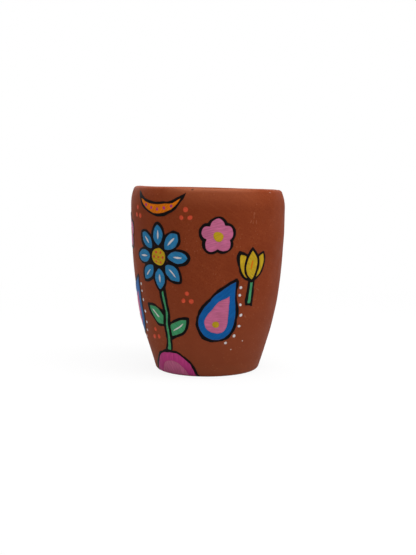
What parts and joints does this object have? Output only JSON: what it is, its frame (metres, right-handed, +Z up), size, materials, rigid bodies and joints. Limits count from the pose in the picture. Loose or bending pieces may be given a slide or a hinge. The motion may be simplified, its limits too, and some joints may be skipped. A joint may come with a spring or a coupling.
{
  "type": "painted clay cup",
  "caption": "Handleless terracotta kulhad cup: narrow flat foot, wall swelling to a rounded shoulder and lip, brushed floral paint films on the outside.",
  "frame": {"origin": "centre of the flat foot, on the table", "axes": "+Z up along the cup's axis; the painted frieze runs from the front (-Y) round by -X to the back, and the +X side is bare clay"},
  "size_m": [0.0807, 0.081, 0.095],
  "materials": {
    "terracotta": "fired unglazed clay, rubbed smooth, with a thin satin sealer",
    "orange_paint": "brushed acrylic, satin",
    "red_paint": "brushed acrylic, satin",
    "magenta_paint": "brushed acrylic, satin",
    "pink_paint": "brushed acrylic, satin",
    "sky_blue_paint": "brushed acrylic, satin",
    "royal_blue_paint": "brushed acrylic, satin",
    "mustard_paint": "brushed acrylic, satin",
    "green_paint": "brushed acrylic, satin",
    "white_paint": "brushed acrylic, satin",
    "black_paint": "brushed acrylic line, satin"
  },
  "bodies": {
    "root": {"clay_cup": "terracotta", "daisy_petals": "sky_blue_paint", "marigold_petals": "orange_paint", "petal_strokes": "white_paint", "bloom_hearts": "mustard_paint", "bloom_heart_dots": "red_paint", "bloom_outlines": "black_paint", "stems": "green_paint", "leaves": "green_paint", "leaf_ribs": "white_paint", "leaf_outlines": "black_paint", "paisley_bodies": "royal_blue_paint", "paisley_cores": "pink_paint", "paisley_eyes": "mustard_paint", "paisley_dot_trails": "white_paint", "paisley_outlines": "black_paint", "blossom_petals": "pink_paint", "blossom_hearts": "mustard_paint", "blossom_outlines": "black_paint", "tulip_petals": "mustard_paint", "tulip_strokes": "orange_paint", "tulip_stems": "green_paint", "tulip_outlines": "black_paint", "swags": "orange_paint", "swag_beads": "magenta_paint", "swag_outlines": "black_paint", "foot_moon_rings": "magenta_paint", "foot_moon_cores": "pink_paint", "foot_moon_outlines": "black_paint", "filler_dots": "red_paint"}
  },
  "joints": []
}
